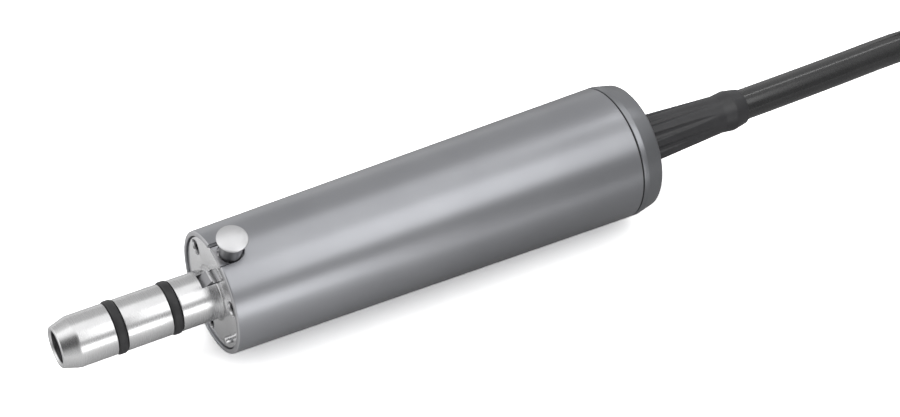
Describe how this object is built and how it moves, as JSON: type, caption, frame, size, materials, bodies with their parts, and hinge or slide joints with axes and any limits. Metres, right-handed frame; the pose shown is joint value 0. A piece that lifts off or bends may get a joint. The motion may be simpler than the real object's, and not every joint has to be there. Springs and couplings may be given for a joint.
{
  "type": "surgical drill motor handpiece",
  "caption": "Cylindrical drive motor of a surgical power drill with a sealed quick-release nose spigot, side release button, strain relief boot, supply cable and round plug.",
  "frame": {"origin": "on the motor axis, in the front face of the front plate where an attachment seats", "axes": "X is the motor axis: the spigot points to -X and the cable leaves to +X. +Z passes through the middle of the attachment latch"},
  "size_m": [0.2896, 0.0591, 0.0344],
  "materials": {
    "anodised_grey": "satin anodised",
    "bright_steel": "satin",
    "hard_steel": "ground",
    "seal_rubber": "matt black",
    "boot_rubber": "matt dark grey",
    "cable_jacket": "soft sheen",
    "plug_metal": "satin chrome",
    "insulator": "moulded",
    "gold_contacts": "polished",
    "magnet_metal": "ground",
    "brass_rings": "turned",
    "lamination": "laminated",
    "copper_winding": "enamelled",
    "carrier_alloy": "turned",
    "lead_insulation": "extruded"
  },
  "bodies": {
    "handpiece": {"cable_coil": "cable_jacket", "cable_strap": "boot_rubber", "cable_tail": "cable_jacket", "front_bearing_outer": "hard_steel", "front_plate": "bright_steel", "front_retaining_ring": "hard_steel", "gland_nut": "plug_metal", "index_pin": "bright_steel", "latch_pin": "bright_steel", "latch_spring": "hard_steel", "motor_cable": "cable_jacket", "motor_housing": "anodised_grey", "motor_leads": "lead_insulation", "nose_body": "bright_steel", "nose_spigot": "bright_steel", "plate_screws": "bright_steel", "plug_body": "plug_metal", "plug_boot": "boot_rubber", "plug_insert": "insulator", "plug_nose": "plug_metal", "plug_pins": "gold_contacts", "preload_spring": "hard_steel", "rear_bearing_outer": "hard_steel", "rear_cap": "anodised_grey", "rear_carrier": "carrier_alloy", "rear_seal_ring": "seal_rubber", "release_spring": "hard_steel", "seal_ring_front": "seal_rubber", "seal_ring_rear": "seal_rubber", "sensor_board": "insulator", "stator_core": "lamination", "stator_winding": "copper_winding", "strain_relief_boot": "boot_rubber"},
    "rotor": {"rotor_shaft": "hard_steel", "rotor_magnet": "magnet_metal", "rotor_sleeve": "magnet_metal", "balance_ring_front": "brass_rings", "balance_ring_rear": "brass_rings", "front_bearing_inner": "hard_steel", "rear_bearing_inner": "hard_steel", "dog_pin": "hard_steel", "dog_spring": "hard_steel"},
    "dog": {"drive_dog": "hard_steel"},
    "release": {"release_slider": "bright_steel", "release_button": "bright_steel"},
    "latch": {"latch_lever": "bright_steel"},
    "plug_release": {"plug_sleeve": "plug_metal"}
  },
  "joints": [
    {"name": "rotor_spin", "type": "hinge", "parent": "handpiece", "child": "rotor", "pos_m": [0.02, 0, 0], "axis": [1, 0, 0], "continuous": true},
    {"name": "dog_slide", "type": "slide", "parent": "rotor", "child": "dog", "axis": [1, 0, 0], "range_m": [0, 0.001], "stiffness_N_per_m": 400, "springref_m": -0.001, "deforming": ["dog_spring"]},
    {"name": "button_slide", "type": "hinge", "parent": "handpiece", "child": "release", "pos_m": [0, 0, 0], "axis": [-1, 0, 0], "range_deg": [0, 4], "stiffness_Nm_per_rad": 0.2, "springref_deg": -2.86, "deforming": ["release_spring"]},
    {"name": "latch_dip", "type": "hinge", "parent": "handpiece", "child": "latch", "pos_m": [0.0085, 0, 0.0036], "axis": [0, -1, 0], "range_deg": [0, 2.8], "stiffness_Nm_per_rad": 0.05, "springref_deg": -2.86, "deforming": ["latch_spring"]},
    {"name": "plug_sleeve_slide", "type": "slide", "parent": "handpiece", "child": "plug_release", "axis": [1, 0, 0], "range_m": [0, 0.0015], "stiffness_N_per_m": 800, "springref_m": -0.001}
  ],
  "couplings": [
    {"joint": "latch_dip", "follows": "button_slide", "ratio": 0.7}
  ]
}
